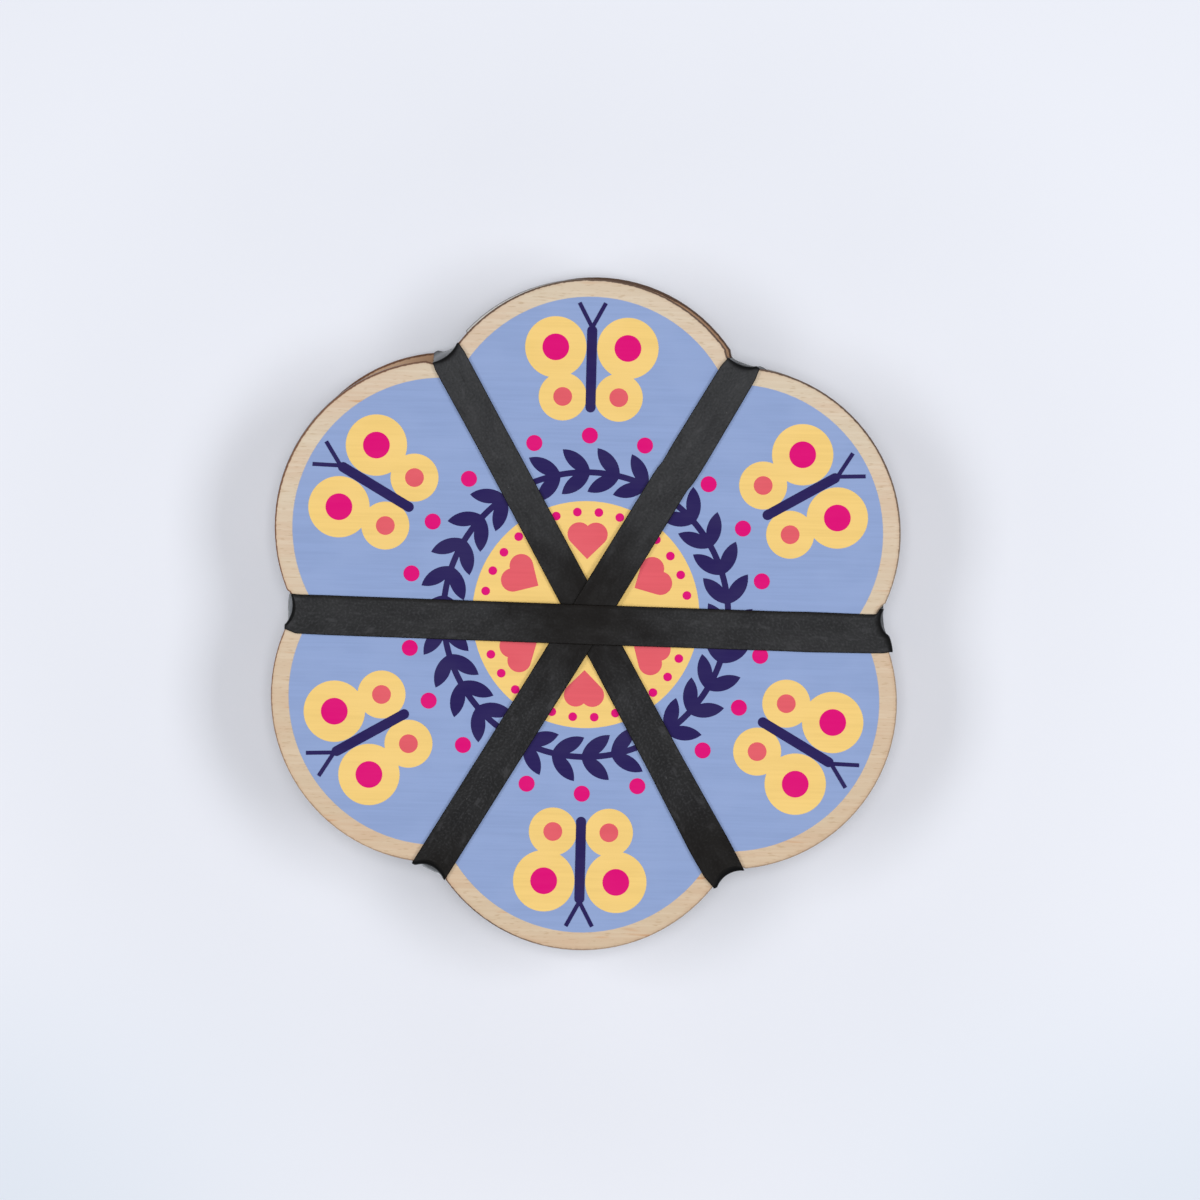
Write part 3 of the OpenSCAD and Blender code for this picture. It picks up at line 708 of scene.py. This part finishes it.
# Camera: straight above, a metre from the top board, a little off its middle and turned a little.
# SEEN_WIDTH is the picture's width on the board's face.
CAMERA_OFF, CAMERA_UP, CAMERA_TURN = (4.15, 4.47), 1000.0, 1.3
SEEN_WIDTH = 359.3
camera_data = bpy.data.cameras.new("camera")
camera = bpy.data.objects.new("camera", camera_data)
camera_data.sensor_width = 36
camera_data.lens = camera_data.sensor_width * CAMERA_UP / SEEN_WIDTH
camera.location = ((TOP_PLACE[0] + CAMERA_OFF[0]) * MM, (TOP_PLACE[1] + CAMERA_OFF[1]) * MM,
                   (FACE_Z + CAMERA_UP) * MM)
camera.rotation_euler = (0, 0, math.radians(CAMERA_TURN))
bpy.context.scene.collection.objects.link(camera)
bpy.context.scene.camera = camera


# Light: a soft box overhead, one on either side, and a little from all round. A box has a name, place, size
# and power.
SOFT_BOXES = [
    ("overhead", (0.0, 0.02, 1.7), (0.5, 0.5), 11.4),
    ("left", (-0.95, 0.0, 1.25), (1.0, 0.5), 7.5),
    ("right", (0.95, 0.0, 1.25), (1.0, 0.5), 9.25),
]
AMBIENT = 0.097
BACKDROP = srgb(235, 238, 247)


def soft_box(name, place, size, power):
    """An area light aimed at the origin."""
    light = bpy.data.lights.new(name, "AREA")
    light.shape = "RECTANGLE"
    light.size, light.size_y = size
    light.energy = power
    made = bpy.data.objects.new(name, light)
    made.location = place
    aim = -np.array(place)
    tilt, turn = math.atan2(math.hypot(aim[0], aim[1]), -aim[2]), math.atan2(aim[1], aim[0])
    made.rotation_euler = (tilt, 0, turn - math.pi / 2)
    bpy.context.scene.collection.objects.link(made)


def light_world():
    """White light from all round. The camera sees the backdrop's colour there instead."""
    world = bpy.data.worlds.new("world")
    world.use_nodes = True
    bpy.context.scene.world = world
    tree = world.node_tree
    plain = tree.nodes["Background"]
    plain.inputs["Color"].default_value = (1, 1, 1, 1)
    plain.inputs["Strength"].default_value = AMBIENT
    shown = tree.nodes.new("ShaderNodeBackground")
    shown.inputs["Color"].default_value = BACKDROP
    shown.inputs["Strength"].default_value = 1.0
    path = tree.nodes.new("ShaderNodeLightPath")
    either = tree.nodes.new("ShaderNodeMath")
    either.operation = "MAXIMUM"
    tree.links.new(path.outputs["Is Camera Ray"], either.inputs[0])
    tree.links.new(path.outputs["Is Transmission Ray"], either.inputs[1])
    choice = tree.nodes.new("ShaderNodeMixShader")
    for place, source in enumerate((either, plain, shown)):
        tree.links.new(source.outputs[0], choice.inputs[place])
    tree.links.new(choice.outputs[0], tree.nodes["World Output"].inputs["Surface"])


for box in SOFT_BOXES:
    soft_box(*box)
light_world()

# Floor: pale cloth with painted light that makes it a little paler away from the press, and painted bluish shade
# at the two corners towards -Y. Far out, the camera sees it fade into the backdrop. Places in metres.
FLOOR_HALF = 4.0
CLOTH, CLOTH_CLOUD, CLOTH_LIT, CLOTH_CORNER_SHADE = (srgb(234, 237, 246), srgb(236, 239, 248), srgb(239, 242, 251),
                                              srgb(229, 236, 247))
# Painted light: the cloth turns paler between these distances from the press
LIT_FROM, LIT_TO = 0.14, 0.22
FADE_FROM, FADE_TO = 0.26, 0.75


def floor_material():
    tree = Tree("floor")
    coords = tree.coords()
    cloud = tree.noise(tree.stretched(coords, (8, 8, 8)), detail=2)
    across, along, _ = tree.parts(coords)
    # Painted bluish shade at the two corners towards -Y
    corner_shade = tree.math("MULTIPLY", tree.band(tree.math("ABSOLUTE", across), 0.04, 0.19),
                        tree.band(along, -0.08, -0.19))
    reach = tree.vector("LENGTH", coords)
    paint = tree.mix(tree.band(cloud, 0.3, 0.7), CLOTH, CLOTH_CLOUD)
    paint = tree.mix(tree.band(reach, LIT_FROM, LIT_TO), paint, CLOTH_LIT)
    tree.set(Base_Color=tree.mix(corner_shade, paint, CLOTH_CORNER_SHADE), Roughness=0.9, Specular_IOR_Level=0.1)
    seen = tree.node("ShaderNodeLightPath").outputs["Is Camera Ray"]
    fade = tree.math("MULTIPLY", tree.band(reach, FADE_FROM, FADE_TO), seen)
    backdrop = tree.node("ShaderNodeEmission", {"Color": BACKDROP, "Strength": 1.0})
    surface = tree.node("ShaderNodeMixShader", {"Fac": fade})
    tree.put(surface.inputs[1], tree.shader.outputs[0])
    tree.put(surface.inputs[2], backdrop.outputs[0])
    tree.put(tree.tree.nodes["Material Output"].inputs["Surface"], surface.outputs[0])
    return tree.material


floor_mesh = bpy.data.meshes.new("floor")
floor_corners = [(x * FLOOR_HALF, y * FLOOR_HALF, 0) for x, y in ((-1, -1), (1, -1), (1, 1), (-1, 1))]
floor_mesh.from_pydata(floor_corners, [], [(0, 1, 2, 3)])
floor_mesh.materials.append(floor_material())
floor = bpy.data.objects.new("floor", floor_mesh)
bpy.context.scene.collection.objects.link(floor)

bpy.context.scene.view_settings.view_transform = "Standard"
